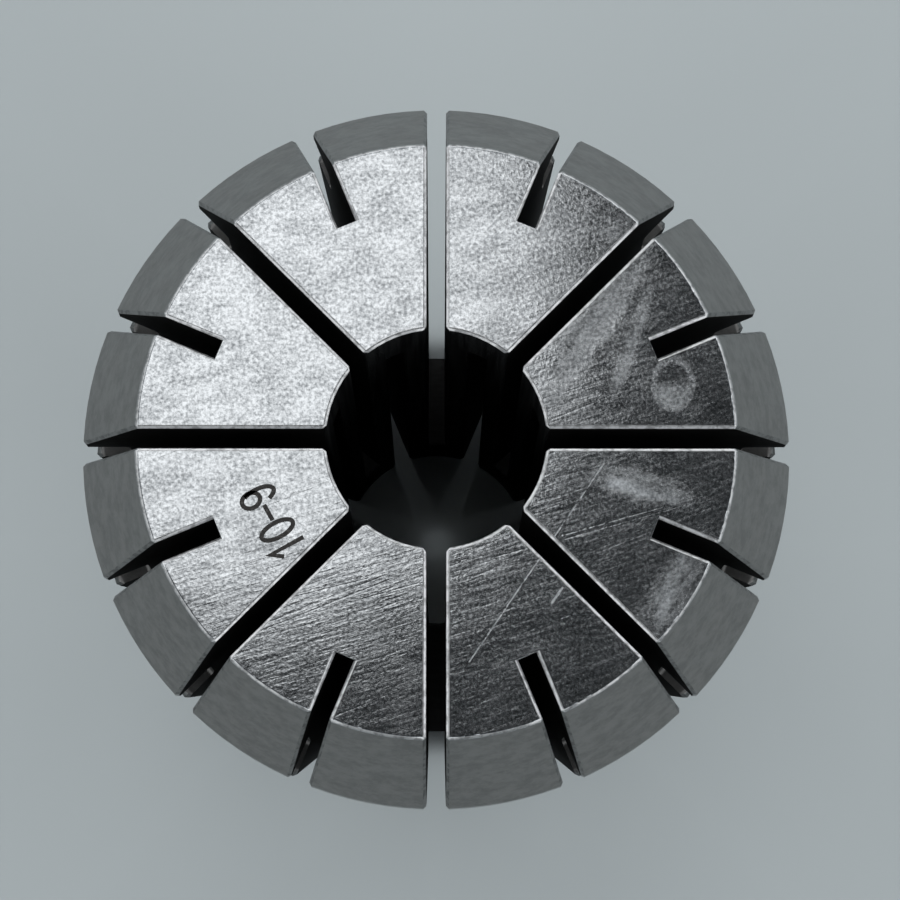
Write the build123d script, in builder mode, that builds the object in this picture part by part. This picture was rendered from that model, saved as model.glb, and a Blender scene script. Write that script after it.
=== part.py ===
import os
from math import atan2, cos, hypot, radians, sin, sqrt, tan

from build123d import *

# Spring collet of hardened steel for an 8 degree taper, turned, ground and slotted from one bar.
# Millimetres. The origin is the centre of the small rear face, and +Z runs to the front face.

# Lengths along the axis
collet_length = 40.0
front_cone_depth = 5.0
flange_land_length = 0.8
nut_groove_width = 3.0

# Diameters
flange_diameter = 33.0
bore_diameter = 10.0

# Steps inwards from the flange's outside, on the radius
nut_groove_depth = 2.1
taper_rim_step = 0.2

# Half angles of the two cones, in degrees
front_cone_angle = 30.0
taper_angle = 8.0

# Slots: one set is sawn from the front and one from the rear, half a pitch apart. Where a set
# runs out, it shows as short slots in the other end face and leaves a web round the bore.
slots_per_end = 8
slot_width = 0.9
saw_diameter = 63.0
web_depth = 4.7
front_short_slot_length = 2.8
rear_short_slot_length = 1.1

# Corners and broken edges
face_rim_rounding = 0.2
flange_rounding = 0.4
groove_corner_radius = 0.3
taper_rim_chamfer = 0.3
rear_rim_chamfer = 0.5
bore_rear_chamfer = 0.3
bore_front_chamfer = 0.15
slot_edge_chamfer = 0.15

# How near a height or a radius comes to the one it is compared with to count as the same
edge_tolerance = 0.001

# Heights above the rear face
flange_top = collet_length - front_cone_depth
flange_bottom = flange_top - flange_land_length
taper_top = flange_bottom - nut_groove_width

# Radii
flange_radius = flange_diameter / 2
face_radius = flange_radius - front_cone_depth * tan(radians(front_cone_angle))
groove_radius = flange_radius - nut_groove_depth
taper_large_radius = flange_radius - taper_rim_step
taper_small_radius = taper_large_radius - taper_top * tan(radians(taper_angle))
bore_radius = bore_diameter / 2
bore_edge_radius = bore_radius + max(bore_front_chamfer, bore_rear_chamfer)
front_web_radius = face_radius - front_short_slot_length
rear_web_radius = taper_small_radius - rear_short_slot_length
saw_radius = saw_diameter / 2


def saw_centre(web_radius):
    """Where the saw's centre stops: its radius, and its distance from the end face it nears.

    The saw's rim then passes through the bore wall at web_depth from that face, and through the
    face itself at web_radius. What it leaves is the web round the bore.
    """
    web_width = web_radius - bore_radius
    half_chord = hypot(web_width, web_depth) / 2
    chord_angle = atan2(web_depth, web_width)
    rise = sqrt(saw_radius**2 - half_chord**2)
    centre_radius = (bore_radius + web_radius) / 2 + rise * sin(chord_angle)
    centre_distance = web_depth / 2 + rise * cos(chord_angle)
    return centre_radius, centre_distance


def corner(section, radius, height):
    """The corner of the turned section that lies at a radius and a height."""
    return section.vertices().sort_by_distance((radius, height))[0]


def envelope_radius(height):
    """Radius of the collet's outside at a height, with the flange carried on over the groove."""
    cone = face_radius + (collet_length - height) * tan(radians(front_cone_angle))
    taper = taper_small_radius + height * tan(radians(taper_angle))
    return min(cone, taper if height < taper_top else flange_radius)


def is_sawn(face):
    """Tells the slots' upright walls, and the arcs where the saws stop, from the turned faces."""
    is_wall = face.geom_type == GeomType.PLANE and abs(face.normal_at().Z) < 0.5
    is_arc = face.geom_type == GeomType.CYLINDER and abs(face.radius - saw_radius) < edge_tolerance
    return is_wall or is_arc


def is_burr(edge):
    """Tells the edges of a slot that lie on an end face, in the bore or on the outside."""
    middle = edge @ 0.5
    radius = hypot(middle.X, middle.Y)
    height = middle.Z
    on_end = min(height, collet_length - height) < edge_tolerance
    in_bore = radius < bore_edge_radius
    on_outside = radius > envelope_radius(height) - max(rear_rim_chamfer, taper_rim_chamfer)
    return on_end or in_bore or on_outside


with BuildPart() as collet:
    # Turned body: taper, extraction groove, flange and front cone round the bore
    with BuildSketch(Plane.XZ) as section:
        with BuildLine():
            Polyline(
                (bore_radius, 0),
                (taper_small_radius, 0),
                (taper_large_radius, taper_top),
                (groove_radius, taper_top),
                (groove_radius, flange_bottom),
                (flange_radius, flange_bottom),
                (flange_radius, flange_top),
                (face_radius, collet_length),
                (bore_radius, collet_length),
                close=True,
            )
        make_face()
        fillet(corner(section, groove_radius, taper_top), groove_corner_radius)
        fillet(corner(section, groove_radius, flange_bottom), groove_corner_radius)
        fillet(corner(section, flange_radius, flange_top), flange_rounding)
        fillet(corner(section, face_radius, collet_length), face_rim_rounding)
        chamfer(corner(section, taper_large_radius, taper_top), taper_rim_chamfer)
        chamfer(corner(section, taper_small_radius, 0), rear_rim_chamfer)
        chamfer(corner(section, bore_radius, 0), bore_rear_chamfer)
        chamfer(corner(section, bore_radius, collet_length), bore_front_chamfer)
    revolve(axis=Axis.Z)

    # Slots sawn from the front face down to the webs at the rear
    centre_radius, centre_distance = saw_centre(rear_web_radius)
    with BuildSketch(Plane.XZ):
        with Locations((centre_radius, centre_distance)):
            Circle(saw_radius)
            Rectangle(2 * saw_radius, collet_length, align=(Align.CENTER, Align.MIN))
    front_slot = extrude(amount=slot_width / 2, both=True, mode=Mode.PRIVATE)
    with PolarLocations(0, slots_per_end):
        add(front_slot, mode=Mode.SUBTRACT)

    # Slots sawn from the rear face up to the webs at the front, half a pitch on
    centre_radius, centre_distance = saw_centre(front_web_radius)
    with BuildSketch(Plane.XZ):
        with Locations((centre_radius, collet_length - centre_distance)):
            Circle(saw_radius)
            Rectangle(2 * saw_radius, collet_length, align=(Align.CENTER, Align.MAX))
    rear_slot = extrude(amount=slot_width / 2, both=True, mode=Mode.PRIVATE)
    with PolarLocations(0, slots_per_end, start_angle=180 / slots_per_end):
        add(rear_slot, mode=Mode.SUBTRACT)

    # Burrs broken where the slots meet the end faces, the bore, the flange and the taper
    burrs = collet.faces().filter_by(is_sawn).edges().filter_by(is_burr)
    chamfer(burrs, slot_edge_chamfer)

collet.part.label = "collet"
os.makedirs("parts", exist_ok=True)
export_step(collet.part, "parts/collet.step")
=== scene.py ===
from math import atan2, cos, hypot, pi, radians, sin

import bmesh
import bpy
from mathutils import Matrix, Vector


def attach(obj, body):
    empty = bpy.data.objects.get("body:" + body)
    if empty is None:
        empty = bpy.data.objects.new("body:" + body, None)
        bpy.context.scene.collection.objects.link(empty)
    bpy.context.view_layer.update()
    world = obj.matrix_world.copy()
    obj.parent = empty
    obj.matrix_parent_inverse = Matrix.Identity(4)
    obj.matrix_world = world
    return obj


# A slotted steel spring collet, standing on its small end and seen from almost straight above.
# Metres, Z up, with the origin in the middle of the small rear face.

MM = 0.001
MICROMETRE = 0.001 * MM
FACE_HEIGHT = 40 * MM
TOUCHING = 1e-7

# Camera, from the rings of the face, the flange and the bore in the picture
CAMERA_PLACE = Vector((0.09, -22.88, 190.27)) * MM
CAMERA_DIRECTION = Vector((0.0035, 0.1470, -0.9891))
CAMERA_LENS = 134.4
SENSOR_WIDTH = 36.0
NEAREST_SEEN = 10 * MM

# Lamps: one disc overhead, which the face mirrors, and panels round the table. Each panel has
# its direction in degrees from +X and its brightness. The room is dark overhead and paler
# towards the horizon, with the change between two heights on a sphere of radius 1, and what is
# seen of it past the floor is as bright as the floor.
OVERHEAD_PLACE = Vector((-53, 129, 640)) * MM
OVERHEAD_WIDTH = 0.16
OVERHEAD_BRIGHTNESS = 1.55
PANEL_WIDTH = 0.38
PANEL_DEPTH = 0.64
PANEL_DISTANCE = 0.6
PANEL_HEIGHT = 0.42
PANELS = ((90, 1.07), (45, 0.94), (0, 0.92), (-45, 1.0), (135, 1.05), (180, 0.76), (225, 0.8))
ROOM_COLOR = (0.93, 0.97, 1.0, 1)
ROOM_OVERHEAD = 0.06
ROOM_AROUND = 0.5
ROOM_DARKENS = (0.90, 0.96)
BACKDROP = 0.45

# Floor
FLOOR_COLOR = (0.465, 0.51, 0.522, 1)
FLOOR_ROUGHNESS = 0.6
FLOOR_GLOSS = 0.3
FLOOR_REACH = 1.5

# Finishes, and how far each rules the shading where it meets another
LAPPED, SATIN, GROUND, BORED, SAWN, BROKEN, RIM, DIM_EDGE, SHADED_GROOVE, SHADED_EDGE = range(10)
WEAK, MEDIUM, STRONG = -16384, 0, 16384
FACE_STRENGTH = (STRONG, STRONG, MEDIUM, MEDIUM, MEDIUM, WEAK, MEDIUM, WEAK, MEDIUM, WEAK)
SHARP_ANGLE = radians(62)

# Where the kinds of face lie, in millimetres above the rear face and from the axis
FACE_FROM = 39.99
FACE_BREAKS_FROM = 39.8
FACE_RIM_FROM = 39.7
FACE_RIM_INSIDE = 13.0
CONE_FROM = 35.0
FLANGE_FROM = 34.1
GROOVE_HEIGHTS = (31.1, 34.3)
GROOVE_OUTSIDE = 16.2
TAPER_RIM_HEIGHTS = (30.8, 31.1)
TAPER_RIM_INSIDE = 15.9
REAR_WEBS_TO = 5.0
REAR_RIM_TO = 0.6
BORE_OUTSIDE = 5.3
WEBS_OUTSIDE = 11.3

# Which way the faces look. A slot's wall looks sideways by more than the first share, and its
# broken edges by more than the second. Then how far up the broken edges round the front face
# look at least, and how far down the rear face does.
WALL_TURN = 0.95
BREAK_TURN = 0.3
BREAK_RISE = 0.1
REAR_FACE_RISE = -0.9

# Colours of the steels, most of them from the plain metal to a second shade of it
FACE_COLORS = ((0.575, 0.60, 0.62, 1), (0.165, 0.177, 0.187, 1))
# The cone's satin steel, darker than the taper's, partly as painted shade for the dim floor that
# it mirrors
CONE_TONE_AND_SHADE_COLORS = ((0.245, 0.243, 0.237, 1), (0.175, 0.175, 0.172, 1))
TAPER_COLORS = ((0.36, 0.365, 0.365, 1), (0.29, 0.295, 0.295, 1))
# The groove under the flange: dark grey, painted shade
GROOVE_SHADE_COLORS = ((0.12, 0.12, 0.118, 1), (0.08, 0.08, 0.079, 1))
# The bore's wall: near black, painted shade inside the bore
BORE_SHADE_COLORS = ((0.014, 0.015, 0.016, 1), (0.04, 0.042, 0.043, 1))
# The slots' walls: near black, painted shade in the narrow slots
SAWN_SHADE_COLORS = ((0.024, 0.024, 0.024, 1), (0.055, 0.055, 0.055, 1))
ETCHED_COLORS = ((0.022, 0.020, 0.019, 1), (0.10, 0.096, 0.092, 1))
# The slots' walls near the rear end: black, painted shade deep in the slots
REAR_SHADE_COLOR = (0.008, 0.008, 0.008, 1)
# The face's broken edges: paler than the face, a painted highlight along the slots and the bore
EDGE_HIGHLIGHT_COLOR = (0.61, 0.62, 0.63, 1)
RIM_COLOR = (0.44, 0.45, 0.455, 1)
# Broken edges of the cone, the taper's rim and the rear rim: about the cone's tone, and darker as
# painted shade under the flange
DIM_EDGE_AND_SHADE_COLOR = (0.2, 0.2, 0.197, 1)
# Broken edges below the flange: very dark, painted shade
SHADED_EDGE_COLOR = (0.11, 0.11, 0.11, 1)
EDGE_SHADE = 0.45

# How mirror-like the steels are at a grazing view
FULL_TINT = (1, 1, 1, 1)
# The slots' walls mirror little at a grazing view, as painted shade
SAWN_SHADE_TINT = (0.25, 0.25, 0.25, 1)
# The bore mirrors little at a grazing view, as painted shade
BORE_SHADE_TINT = (0.05, 0.05, 0.05, 1)

# Roughness of the steels. The face's varies between two, and the turned faces' about one.
FACE_ROUGHNESS = (0.085, 0.115)
TURNED_ROUGHNESS = 0.36
GROOVE_ROUGHNESS = 0.4
BORE_ROUGHNESS = 0.58
SAWN_ROUGHNESS = 0.5
EDGE_ROUGHNESS = 0.32
ETCHED_ROUGHNESS = 0.5

# Lapping of the front face: its direction, the direction of its deep lines, and the depths of
# its relief in micrometres
LAP_ANGLE = radians(17)
LINE_ANGLE = LAP_ANGLE + radians(5)
MOTTLE_DEPTH = 2.1
STREAK_DEPTH = 3.3
SWELL_DEPTH = 3.5
LINE_DEPTH = 0.7

# Relief of the other steels, in micrometres
TURNED_DEPTH = 2.5
BLOOM_DEPTH = 2.0
BORE_DEPTH = 5.0
SAWN_DEPTH = 4.0
NICK_DEPTH = 8.0
ETCHED_DEPTH = 4.0

# Heights over which the painted shade at the rear end of the slots' walls fades out, in
# millimetres
REAR_SHADE_FADES = (4.0, 8.0)

# Stains, smears and scratches on the front face, in millimetres. A band runs from one point to
# another with a half width, a soft edge and what it adds to the roughness. A smear has a half
# width, and leaves a share of the relief bare. A scratch has a half width, its depth in
# micrometres and what it adds to the roughness. A dried drop is a ring with a film in it.
BANDS = (
    ((7.35, -1.7), (11.5, -2.8), 0.68, 0.3, 0.17),
    ((7.7, -2.0), (10.5, -2.75), 0.34, 0.15, 0.12),
    ((7.6, -2.0), (9.4, -2.45), 0.26, 0.12, 0.12),
    ((7.95, 1.9), (9.0, 4.5), 0.26, 0.2, 0.12),
    ((8.6, 3.4), (9.5, 6.4), 0.26, 0.2, 0.12),
    ((9.6, 9.0), (5.4, 2.2), 0.6, 0.4, 0.12),
    ((9.3, -8.9), (12.2, -4.9), 1.0, 0.6, 0.15),
    ((9.9, -8.3), (11.2, -5.3), 0.3, 0.2, 0.12),
)
SMEARS = (
    ((8.9, 7.4), (5.9, 3.2), 0.55),
    ((7.35, -1.7), (11.5, -2.8), 0.6),
    ((10.0, -8.2), (11.5, -5.8), 0.6),
)
SMEAR_EDGE = 0.3
SMEAR_BARE = 0.3
SCRATCHES = (
    ((7.58, -1.14), (1.47, -10.15), 0.025, 1.5, 0.30),
    ((5.66, -6.81), (5.16, -7.54), 0.040, 1.5, 0.40),
    ((5.67, -4.42), (12.13, -2.59), 0.030, 1.5, 0.0),
    ((5.80, -4.60), (11.20, -3.05), 0.025, 1.2, 0.0),
    ((2.33, -5.50), (4.09, -5.01), 0.030, 1.5, 0.0),
    ((-9.6, 1.6), (-5.9, 2.7), 0.025, 0.8, 0.0),
    ((-7.9, -7.6), (-3.1, -6.4), 0.025, 1.2, 0.0),
    ((-3.3, -7.3), (-0.8, -6.6), 0.025, 1.2, 0.0),
)
RING_CENTRE = (10.74, 2.48)
RING_RADII = (0.88, 1.1)
RING_ROUGHNESS = 0.12
FILM_ROUGHNESS = 0.17

# How far the outlines of stains and smears stray, in millimetres, and the ring's share of that
WOBBLE = 0.35
RING_WOBBLE = 0.25

# Jaw range marked on the face. Each sign has its centre in millimetres and its strokes as
# points in its own axes, across and up.
MARK_WIDTH = 0.205 * MM
MARK_SINK = 0.01 * MM
MARK_RISE = 0.004 * MM
MARK_ANGLE = radians(119)
SHARPEST_MITRE = 0.4


def oval(centre, radii, start=0.0, end=360.0, count=28):
    """Points along an oval, or along a part of it between two angles in degrees."""
    angles = [radians(start + (end - start) * i / count) for i in range(count + 1)]
    return [(centre[0] + radii[0] * cos(a), centre[1] + radii[1] * sin(a)) for a in angles]


MARKS = (
    ((-6.76, -4.94), [(-0.30, 0.37), (0.0, 0.79), (0.0, -0.79)]),
    ((-7.16, -4.19), oval((0.0, 0.0), (0.34, 0.79))),
    ((-7.57, -3.40), [(-0.3, 0.0), (0.3, 0.0)]),
    ((-8.04, -2.69), oval((0.0, 0.36), (0.34, 0.43))),
    ((-8.04, -2.69), oval((0.0, 0.0), (0.34, 0.79), 35.0, -140.0)),
)


class Nodes:
    """Adds nodes to a tree and links them, a line for each node."""

    def __init__(self, tree):
        self.tree = tree
        tree.nodes.clear()

    def add(self, kind, inputs=None, **settings):
        node = self.tree.nodes.new("ShaderNode" + kind)
        for name, value in settings.items():
            setattr(node, name, value)
        for name, value in (inputs or {}).items():
            if isinstance(value, bpy.types.NodeSocket):
                self.tree.links.new(value, node.inputs[name])
            else:
                node.inputs[name].default_value = value
        return node

    def math(self, operation, first, second=0.0, third=0.0):
        inputs = {0: first, 1: second, 2: third}
        return self.add("Math", inputs, operation=operation).outputs[0]

    def times(self, first, second):
        return self.math("MULTIPLY", first, second)

    def total(self, *values):
        result = values[0]
        for value in values[1:]:
            result = self.math("ADD", result, value)
        return result

    def scaled(self, vector, factors):
        inputs = {0: vector, 1: factors}
        return self.add("VectorMath", inputs, operation="MULTIPLY").outputs[0]

    def moved(self, vector, offset):
        inputs = {0: vector, 1: offset}
        return self.add("VectorMath", inputs, operation="ADD").outputs[0]

    def turned(self, vector, angle):
        inputs = {"Vector": vector, "Axis": (0, 0, 1), "Angle": angle}
        return self.add("VectorRotate", inputs).outputs[0]

    def length(self, vector):
        return self.add("VectorMath", {0: vector}, operation="LENGTH").outputs["Value"]

    def parts(self, vector):
        return self.add("SeparateXYZ", {0: vector}).outputs

    def noise(self, vector, scale=1.0, detail=2.0, roughness=0.5):
        inputs = {"Vector": vector, "Scale": scale, "Detail": detail, "Roughness": roughness}
        return self.add("TexNoise", inputs).outputs[0]

    def ramp(self, value, over, onto=(0.0, 1.0), smooth=True):
        """Takes a value from one range of values onto another, and holds it at both ends."""
        inputs = {"Value": value, 1: over[0], 2: over[1], 3: onto[0], 4: onto[1]}
        kind = "SMOOTHSTEP" if smooth else "LINEAR"
        return self.add("MapRange", inputs, interpolation_type=kind).outputs[0]

    def tinted(self, amount, first, second):
        return self.add("Mix", {0: amount, 6: first, 7: second}, data_type="RGBA").outputs[2]

    def millimetres(self):
        place = self.add("TexCoord").outputs["Object"]
        return self.scaled(place, (1 / MM, 1 / MM, 1 / MM))

    def lined_up(self, place, start, end):
        """A place measured from the middle of a line, with the line as its first axis."""
        middle = ((start[0] + end[0]) / 2, (start[1] + end[1]) / 2)
        angle = atan2(end[1] - start[1], end[0] - start[0])
        return self.turned(self.moved(place, (-middle[0], -middle[1], 0)), -angle)

    def from_lens(self, place, start, end, half_width):
        """Distance from the middle of an oval that runs from one point to another, which is the
        oval's half width all along its outline."""
        half = hypot(end[0] - start[0], end[1] - start[1]) / 2
        own = self.scaled(self.lined_up(place, start, end), (half_width / half, 1, 0))
        return self.length(own)

    def from_line(self, place, start, end):
        """Distance from a straight line between two points."""
        half = hypot(end[0] - start[0], end[1] - start[1]) / 2
        x, y, _ = self.parts(self.lined_up(place, start, end))
        past = self.math("MAXIMUM", self.math("SUBTRACT", self.math("ABSOLUTE", x), half), 0.0)
        square = self.math("MULTIPLY_ADD", y, y, self.times(past, past))
        return self.math("SQRT", square)


def new_material(name):
    material = bpy.data.materials.new(name)
    material.use_nodes = True
    return material, Nodes(material.node_tree)


def finish_steel(nodes, color, roughness, height, edge_tint=FULL_TINT):
    """The closing nodes of each steel: a metal with a relief that is given in micrometres."""
    relief = nodes.add("Bump", {"Height": height, "Distance": MICROMETRE, "Strength": 1.0})
    inputs = {
        "Base Color": color,
        "Metallic": 1.0,
        "Roughness": roughness,
        "Specular Tint": edge_tint,
        "Normal": relief.outputs[0],
    }
    metal = nodes.add("BsdfPrincipled", inputs)
    nodes.add("OutputMaterial", {"Surface": metal.outputs[0]})


def uneven_outline(nodes, place):
    """How far the outlines of stains and smears stray at a place."""
    noise = nodes.noise(place, 1.3, detail=2.0, roughness=0.6)
    return nodes.ramp(noise, (0.0, 1.0), (-WOBBLE, WOBBLE), smooth=False)


def dried_drop(nodes, place, wobble):
    """What a dried drop adds to the roughness: a rim, and a film in the drop's lower part."""
    own = nodes.moved(place, (-RING_CENTRE[0], -RING_CENTRE[1], 0))
    own = nodes.scaled(own, (1 / RING_RADII[0], 1 / RING_RADII[1], 0))
    reach = nodes.math("MULTIPLY_ADD", wobble, RING_WOBBLE, nodes.length(own))
    off_rim = nodes.math("ABSOLUTE", nodes.math("SUBTRACT", reach, 1.0))
    rim = nodes.ramp(off_rim, (0.08, 0.22), (RING_ROUGHNESS, 0.0))
    inside = nodes.ramp(reach, (0.75, 1.05), (1.0, 0.0))
    low = nodes.ramp(nodes.parts(own)[1], (-0.25, 0.15), (FILM_ROUGHNESS, 0.0))
    patchy = nodes.ramp(nodes.noise(place, 3.0, 3.0, 0.65), (0.32, 0.62), (0.6, 1.0))
    return nodes.times(nodes.total(rim, nodes.times(inside, low)), patchy)


def stains(nodes, place, wobble):
    """What wiped stains and a dried drop add to the face's roughness."""
    amounts = []
    for start, end, half_width, edge, amount in BANDS:
        distance = nodes.math("ADD", nodes.from_lens(place, start, end, half_width), wobble)
        mask = nodes.ramp(distance, (half_width - edge, half_width + edge), (amount, 0.0))
        strokes = nodes.scaled(nodes.lined_up(place, start, end), (0.5, 3.2, 1.0))
        strokes = nodes.noise(strokes, detail=3.0, roughness=0.65)
        amounts.append(nodes.times(mask, nodes.ramp(strokes, (0.34, 0.62), (0.35, 1.1))))
    amounts.append(dried_drop(nodes, place, wobble))
    return nodes.total(*amounts)


def smears(nodes, place, wobble):
    """How much of the face's relief a greasy film leaves bare: 1 is all of it."""
    share = None
    for start, end, half_width in SMEARS:
        distance = nodes.math("ADD", nodes.from_lens(place, start, end, half_width), wobble)
        outline = (half_width - SMEAR_EDGE, half_width + SMEAR_EDGE)
        bare = nodes.ramp(distance, outline, (SMEAR_BARE, 1.0))
        share = bare if share is None else nodes.times(share, bare)
    return share


def scratches(nodes, place):
    """How deep the single scratches cut into the face, and what they add to its roughness."""
    broken = nodes.ramp(nodes.noise(place, 1.6, 3.0, 0.7), (0.38, 0.52))
    depths = []
    shines = []
    for start, end, half_width, depth, shine in SCRATCHES:
        distance = nodes.from_line(place, start, end)
        mask = nodes.ramp(distance, (half_width * 0.4, half_width * 1.8), (1.0, 0.0))
        depths.append(nodes.times(mask, -depth))
        shines.append(nodes.times(mask, shine))
    return nodes.times(nodes.total(*depths), broken), nodes.times(nodes.total(*shines), broken)


def lapped_steel():
    """The front face: lapped flat in one direction, finely mottled, with stains and scratches."""
    material, nodes = new_material("lapped_steel")
    place = nodes.millimetres()
    along = nodes.turned(place, -LAP_ANGLE)
    astray = nodes.turned(place, -LINE_ANGLE)
    wobble = uneven_outline(nodes, place)

    # Relief: a fine mottle, streaks and swells of the lapping, and a few long deep lines
    mottle = nodes.noise(place, 6.0, detail=1.5, roughness=0.55)
    streaks = nodes.noise(nodes.scaled(along, (0.55, 4.4, 1.0)), detail=2.0, roughness=0.6)
    swell = nodes.noise(nodes.scaled(along, (0.2, 1.1, 1.0)), detail=2.0, roughness=0.5)
    lines = nodes.noise(nodes.scaled(astray, (0.06, 4.0, 1.0)), detail=1.0, roughness=0.5)
    relief = nodes.total(
        nodes.times(mottle, MOTTLE_DEPTH),
        nodes.times(streaks, STREAK_DEPTH),
        nodes.times(swell, SWELL_DEPTH),
        nodes.ramp(lines, (0.64, 0.76), (0.0, -LINE_DEPTH)),
    )
    cuts, shine = scratches(nodes, place)
    height = nodes.total(nodes.times(relief, smears(nodes, place, wobble)), cuts)

    # Roughness: faint clouds, a fine grain, and rubs along the lapping
    cloud = nodes.noise(place, 0.45, detail=3.0, roughness=0.6)
    grain = nodes.noise(place, 8.0, detail=2.0, roughness=0.6)
    rubs = nodes.noise(nodes.scaled(along, (0.9, 5.0, 1.0)), detail=3.0, roughness=0.65)
    roughness = nodes.total(
        nodes.ramp(cloud, (0.3, 0.7), FACE_ROUGHNESS),
        nodes.ramp(grain, (0.32, 0.68), (-0.025, 0.045)),
        nodes.ramp(rubs, (0.35, 0.7), (-0.02, 0.046)),
        stains(nodes, place, wobble),
        shine,
    )

    # Colour: darker between the grains and in broad faint patches
    pits = nodes.noise(place, 6.0, detail=2.5, roughness=0.68)
    patches = nodes.noise(nodes.scaled(along, (0.5, 0.9, 1.0)), detail=3.0, roughness=0.6)
    shade = nodes.total(
        nodes.ramp(pits, (0.34, 0.66), (0.8, -0.15), smooth=False),
        nodes.ramp(patches, (0.36, 0.66), (0.2, -0.12)),
    )
    finish_steel(nodes, nodes.tinted(shade, *FACE_COLORS), roughness, height)
    return material


def turned_steel(name, colors, roughness):
    """A ground cone or cylinder, with fine lines round the axis and a faint bloom."""
    material, nodes = new_material(name)
    place = nodes.millimetres()
    x, y, z = nodes.parts(place)
    round_axis = nodes.times(nodes.math("ARCTAN2", y, x), 2.0)
    lines = nodes.add("CombineXYZ", {0: round_axis, 1: nodes.times(z, 9.0)}).outputs[0]
    lines = nodes.noise(lines, detail=3.0, roughness=0.6)
    bloom = nodes.noise(place, 5.0, detail=2.0, roughness=0.6)
    height = nodes.total(nodes.times(lines, TURNED_DEPTH), nodes.times(bloom, BLOOM_DEPTH))
    cloud = nodes.noise(place, 0.6, detail=3.0, roughness=0.6)
    rough = nodes.ramp(cloud, (0.3, 0.7), (roughness - 0.03, roughness + 0.05))
    shade = nodes.noise(nodes.scaled(place, (1, 1, 2)), 1.1, detail=5.0, roughness=0.75)
    shade = nodes.ramp(shade, (0.35, 0.68), (0.0, 0.9))
    finish_steel(nodes, nodes.tinted(shade, *colors), rough, height)
    return material


def shaded_bored_steel():
    """The bore's wall, with faint lines along the axis, painted near black as shade and mirroring
    little at a grazing view.
    """
    material, nodes = new_material("shaded_bored_steel")
    lines = nodes.scaled(nodes.millimetres(), (4.0, 4.0, 0.12))
    lines = nodes.noise(lines, detail=3.0, roughness=0.6)
    color = nodes.tinted(nodes.ramp(lines, (0.35, 0.65)), *BORE_SHADE_COLORS)
    finish_steel(nodes, color, BORE_ROUGHNESS, nodes.times(lines, BORE_DEPTH), BORE_SHADE_TINT)
    return material


def shaded_sawn_steel():
    """The slots' walls, with the saw's streaks, painted near black as shade in the narrow slots,
    and darker still as painted shade towards the rear end.
    """
    material, nodes = new_material("shaded_sawn_steel")
    place = nodes.millimetres()
    streaks = nodes.noise(nodes.scaled(place, (1.2, 1.2, 6.0)), detail=3.0, roughness=0.6)
    color = nodes.tinted(nodes.ramp(streaks, (0.35, 0.7)), *SAWN_SHADE_COLORS)
    # Painted shade: the walls turn black towards the rear end
    scale = nodes.ramp(nodes.parts(place)[2], REAR_SHADE_FADES, (0.85, 0.0))
    color = nodes.tinted(scale, color, REAR_SHADE_COLOR)
    finish_steel(nodes, color, SAWN_ROUGHNESS, nodes.times(streaks, SAWN_DEPTH), SAWN_SHADE_TINT)
    return material


def edge_steel(name, color):
    """A broken edge or a rim in the colour given for its kind, made uneven by nicks: pale as a
    painted highlight on the face's broken edges, dark as painted shade on the dim edges and on
    those below the flange.
    """
    material, nodes = new_material(name)
    nicks = nodes.noise(nodes.millimetres(), 2.6, detail=4.0, roughness=0.7)
    dull = tuple(EDGE_SHADE * part for part in color[:3]) + (1,)
    worn = nodes.tinted(nodes.ramp(nicks, (0.38, 0.56), (0.85, 0.0)), color, dull)
    finish_steel(nodes, worn, EDGE_ROUGHNESS, nodes.times(nicks, NICK_DEPTH))
    return material


def etched_steel():
    """The dark oxide of etched signs, thin and uneven over the grain of the face."""
    material, nodes = new_material("etched_steel")
    thin = nodes.noise(nodes.millimetres(), 7.0, detail=3.0, roughness=0.7)
    thin = nodes.ramp(thin, (0.52, 0.68), (0.0, 0.7))
    distance = ETCHED_DEPTH * MICROMETRE
    relief = nodes.add("Bump", {"Height": thin, "Distance": distance, "Strength": 1.0})
    inputs = {
        "Base Color": nodes.tinted(thin, *ETCHED_COLORS),
        "Metallic": 0.3,
        "Roughness": ETCHED_ROUGHNESS,
        "Normal": relief.outputs[0],
    }
    oxide = nodes.add("BsdfPrincipled", inputs)
    nodes.add("OutputMaterial", {"Surface": oxide.outputs[0]})
    return material


def ends(mesh, edge):
    """An edge's two ends in whole tenths of a micrometre, the same for every copy of the edge."""
    points = (mesh.vertices[index].co for index in edge.vertices)
    return tuple(sorted(tuple(round(x / TOUCHING) for x in point) for point in points))


def soften_edges(collet):
    """Lets the large faces rule the shading of the broken edges between them, which then look
    rounded, and keeps the edges that aren't broken sharp."""
    mesh = collet.data
    joined = bmesh.new()
    joined.from_mesh(mesh)
    bmesh.ops.remove_doubles(joined, verts=joined.verts, dist=TOUCHING)
    whole = bpy.data.meshes.new("whole")
    sharp = joined.edges.layers.int.new("is_sharp")
    for edge in joined.edges:
        finishes = {face.material_index for face in edge.link_faces}
        broken = not finishes.isdisjoint({BROKEN, DIM_EDGE, SHADED_EDGE})
        inner = broken and not finishes.isdisjoint({SAWN, BORED})
        edge[sharp] = edge.calc_face_angle(0) > SHARP_ANGLE or inner
    joined.to_mesh(whole)
    joined.free()
    marks = whole.attributes["is_sharp"].data
    sharp_ends = {ends(whole, edge) for edge in whole.edges if marks[edge.index].value}
    bpy.data.meshes.remove(whole)
    for edge in mesh.edges:
        edge.use_edge_sharp = ends(mesh, edge) in sharp_ends

    strength = mesh.attributes.new("__mod_weightednormals_faceweight", "INT", "FACE")
    for polygon in mesh.polygons:
        strength.data[polygon.index].value = FACE_STRENGTH[polygon.material_index]
    weld = collet.modifiers.new("weld", "WELD")
    weld.merge_threshold = TOUCHING
    normals = collet.modifiers.new("soft edges", "WEIGHTED_NORMAL")
    normals.mode = "FACE_AREA_WITH_ANGLE"
    normals.weight = 50
    normals.keep_sharp = True
    normals.use_face_influence = True


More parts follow.
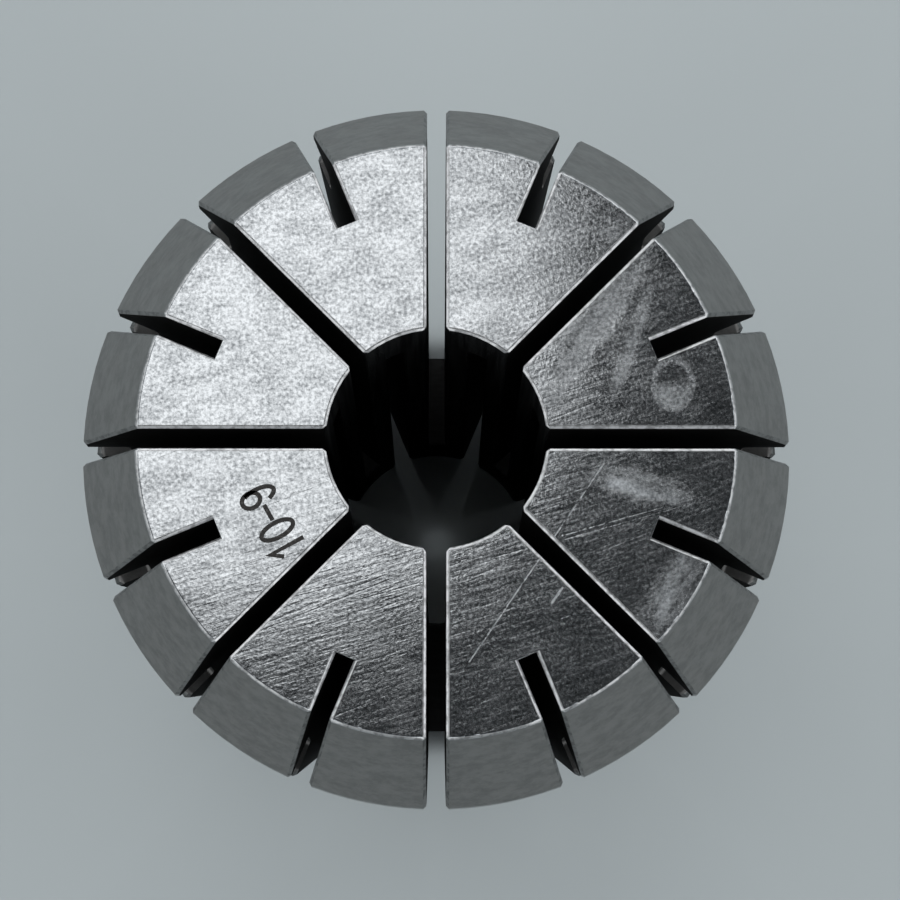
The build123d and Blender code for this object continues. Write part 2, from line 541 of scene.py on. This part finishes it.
def finish_of(polygon):
    """Which finish a face has, by where it lies and which way it looks."""
    radius = polygon.center.xy.length / MM
    height = polygon.center.z / MM
    upright = polygon.normal.z
    outward = polygon.normal.xy.dot(polygon.center.xy) / polygon.center.xy.length
    sideways = (1 - min(1.0, upright**2 + outward**2)) ** 0.5
    broken = sideways > BREAK_TURN
    if sideways > WALL_TURN:
        return SAWN
    if height > FACE_FROM:
        return LAPPED
    in_face = broken or radius < FACE_RIM_INSIDE
    if height > FACE_BREAKS_FROM and upright > BREAK_RISE and in_face:
        return BROKEN
    if height > FACE_RIM_FROM and radius > FACE_RIM_INSIDE:
        return RIM
    if radius < BORE_OUTSIDE:
        return BORED
    over_rear_webs = height < REAR_WEBS_TO and upright > REAR_FACE_RISE
    if radius < WEBS_OUTSIDE and (height > CONE_FROM or over_rear_webs):
        return SAWN
    if broken:
        # Broken edges below the flange get a very dark steel as painted shade
        return DIM_EDGE if height > FLANGE_FROM else SHADED_EDGE
    on_taper_rim = TAPER_RIM_HEIGHTS[0] < height < TAPER_RIM_HEIGHTS[1]
    if on_taper_rim and radius > TAPER_RIM_INSIDE or height < REAR_RIM_TO:
        return DIM_EDGE
    # The groove under the flange gets a dark steel as painted shade
    if GROOVE_HEIGHTS[0] < height < GROOVE_HEIGHTS[1] and radius < GROOVE_OUTSIDE:
        return SHADED_GROOVE
    return SATIN if height > CONE_FROM else GROUND


def dress_collet(collet):
    """Gives each face of the turned and slotted body the finish of its kind."""
    mesh = collet.data
    mesh.shade_smooth()
    mesh.materials.clear()
    finishes = {
        LAPPED: lapped_steel(),
        # Partly painted shade: the cone's steel is darker than the taper's
        SATIN: turned_steel("satin_and_shade_steel", CONE_TONE_AND_SHADE_COLORS, TURNED_ROUGHNESS),
        GROUND: turned_steel("ground_steel", TAPER_COLORS, TURNED_ROUGHNESS),
        # Painted shade: the bore's wall is near black
        BORED: shaded_bored_steel(),
        # Painted shade: the slots' walls are near black
        SAWN: shaded_sawn_steel(),
        # Painted highlight: the face's broken edges are paler than the face
        BROKEN: edge_steel("broken_edge_highlight_steel", EDGE_HIGHLIGHT_COLOR),
        RIM: edge_steel("rim_steel", RIM_COLOR),
        # Partly painted shade: the cone's tone, darker for the taper's rim under the flange
        DIM_EDGE: edge_steel("dim_edge_and_shade_steel", DIM_EDGE_AND_SHADE_COLOR),
        # Painted shade: the groove under the flange
        SHADED_GROOVE: turned_steel("shaded_groove_steel", GROOVE_SHADE_COLORS, GROOVE_ROUGHNESS),
        # Painted shade: the broken edges below the flange
        SHADED_EDGE: edge_steel("shaded_edge_steel", SHADED_EDGE_COLOR),
    }
    for finish in sorted(finishes):
        mesh.materials.append(finishes[finish])
    for polygon in mesh.polygons:
        polygon.material_index = finish_of(polygon)
    soften_edges(collet)


def add_stroke(shape, points, centre):
    """Adds a thin closed solid along a line of points, sunk a little into the face."""
    across = Vector((cos(MARK_ANGLE), sin(MARK_ANGLE)))
    up = Vector((-across.y, across.x))
    middle = Vector(centre) * MM
    line = [middle + (across * x + up * y) * MM for x, y in points]
    closed = (line[0] - line[-1]).length < TOUCHING
    if closed:
        line.pop()
    last = len(line) - 1
    rows = []
    for i, point in enumerate(line):
        before = line[i - 1] if i or closed else None
        after = line[(i + 1) % len(line)] if i < last or closed else None
        first = (after - point if before is None else point - before).normalized()
        second = (point - before if after is None else after - point).normalized()
        beside = Vector((-first.y, first.x))
        side = (beside + Vector((-second.y, second.x))).normalized()
        side *= MARK_WIDTH / 2 / max(side.dot(beside), SHARPEST_MITRE)
        if before is None:
            point = point - first * MARK_WIDTH / 2
        if after is None:
            point = point + second * MARK_WIDTH / 2
        left, right = point + side, point - side
        corners = ((left, MARK_RISE), (right, MARK_RISE), (right, -MARK_SINK), (left, -MARK_SINK))
        rows.append([shape.verts.new((*place, FACE_HEIGHT + rise)) for place, rise in corners])
    for i in range(len(rows) if closed else last):
        one, two = rows[i], rows[(i + 1) % len(rows)]
        for j in range(4):
            shape.faces.new((one[j], one[(j + 1) % 4], two[(j + 1) % 4], two[j]))
    if not closed:
        shape.faces.new(rows[0][::-1])
        shape.faces.new(rows[-1])


def make_marks():
    """The jaw range, etched on the face."""
    shape = bmesh.new()
    for centre, points in MARKS:
        add_stroke(shape, points, centre)
    bmesh.ops.recalc_face_normals(shape, faces=shape.faces)
    mesh = bpy.data.meshes.new("jaw_range")
    shape.to_mesh(mesh)
    shape.free()
    mesh.materials.append(etched_steel())
    marks = bpy.data.objects.new("jaw_range", mesh)
    bpy.context.scene.collection.objects.link(marks)
    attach(marks, "root")


def make_floor():
    material, nodes = new_material("floor")
    inputs = {
        "Base Color": FLOOR_COLOR,
        "Roughness": FLOOR_ROUGHNESS,
        "Specular IOR Level": FLOOR_GLOSS,
    }
    paint = nodes.add("BsdfPrincipled", inputs)
    nodes.add("OutputMaterial", {"Surface": paint.outputs[0]})
    mesh = bpy.data.meshes.new("floor")
    signs = ((-1, -1), (1, -1), (1, 1), (-1, 1))
    corners = [(FLOOR_REACH * x, FLOOR_REACH * y, 0) for x, y in signs]
    mesh.from_pydata(corners, [], [(0, 1, 2, 3)])
    mesh.materials.append(material)
    floor = bpy.data.objects.new("floor", mesh)
    bpy.context.scene.collection.objects.link(floor)


def add_lamp(name, place, shape, width, depth, brightness):
    """A soft lamp aimed at the collet, as bright as a mirror would show it."""
    light = bpy.data.lights.new(name, "AREA")
    light.shape = shape
    light.size = width
    light.size_y = depth
    area = width * depth * (pi / 4 if shape == "ELLIPSE" else 1)
    light.energy = brightness * area * pi
    lamp = bpy.data.objects.new(name, light)
    lamp.location = place
    target = Vector((0, 0, FACE_HEIGHT))
    lamp.rotation_euler = (target - place).to_track_quat("-Z", "Y").to_euler()
    bpy.context.scene.collection.objects.link(lamp)


def make_room():
    world = bpy.data.worlds.new("studio")
    world.use_nodes = True
    nodes = Nodes(world.node_tree)
    rise = nodes.parts(nodes.add("TexCoord").outputs["Generated"])[2]
    strength = nodes.ramp(rise, ROOM_DARKENS, (ROOM_AROUND, ROOM_OVERHEAD))
    seen = nodes.add("LightPath").outputs["Is Camera Ray"]
    strength = nodes.ramp(seen, (0.0, 1.0), (strength, BACKDROP), smooth=False)
    room = nodes.add("Background", {"Color": ROOM_COLOR, "Strength": strength})
    nodes.add("OutputWorld", {"Surface": room.outputs[0]})
    bpy.context.scene.world = world


def make_lamps():
    width = OVERHEAD_WIDTH
    add_lamp("overhead", OVERHEAD_PLACE, "ELLIPSE", width, width, OVERHEAD_BRIGHTNESS)
    for index, (direction, brightness) in enumerate(PANELS):
        x = cos(radians(direction)) * PANEL_DISTANCE
        y = sin(radians(direction)) * PANEL_DISTANCE
        place = Vector((x, y, PANEL_HEIGHT))
        add_lamp(f"panel {index}", place, "RECTANGLE", PANEL_WIDTH, PANEL_DEPTH, brightness)


def make_camera():
    lens = bpy.data.cameras.new("camera")
    lens.lens = CAMERA_LENS
    lens.sensor_width = SENSOR_WIDTH
    lens.clip_start = NEAREST_SEEN
    camera = bpy.data.objects.new("camera", lens)
    forward = CAMERA_DIRECTION.normalized()
    right = forward.cross(Vector((0, 1, 0))).normalized()
    above = right.cross(forward)
    turn = Matrix((right, above, -forward)).transposed().to_4x4()
    camera.matrix_world = Matrix.Translation(CAMERA_PLACE) @ turn
    bpy.context.scene.collection.objects.link(camera)
    bpy.context.scene.camera = camera


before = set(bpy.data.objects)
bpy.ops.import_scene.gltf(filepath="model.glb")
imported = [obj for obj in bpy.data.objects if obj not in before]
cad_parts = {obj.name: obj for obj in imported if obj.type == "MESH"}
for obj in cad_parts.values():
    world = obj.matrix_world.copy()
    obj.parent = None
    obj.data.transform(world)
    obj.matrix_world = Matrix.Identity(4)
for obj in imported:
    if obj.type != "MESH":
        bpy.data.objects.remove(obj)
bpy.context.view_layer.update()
bpy.context.scene.view_settings.view_transform = "Standard"
make_camera()
dress_collet(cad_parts["collet"])
make_marks()
make_floor()
make_room()
make_lamps()
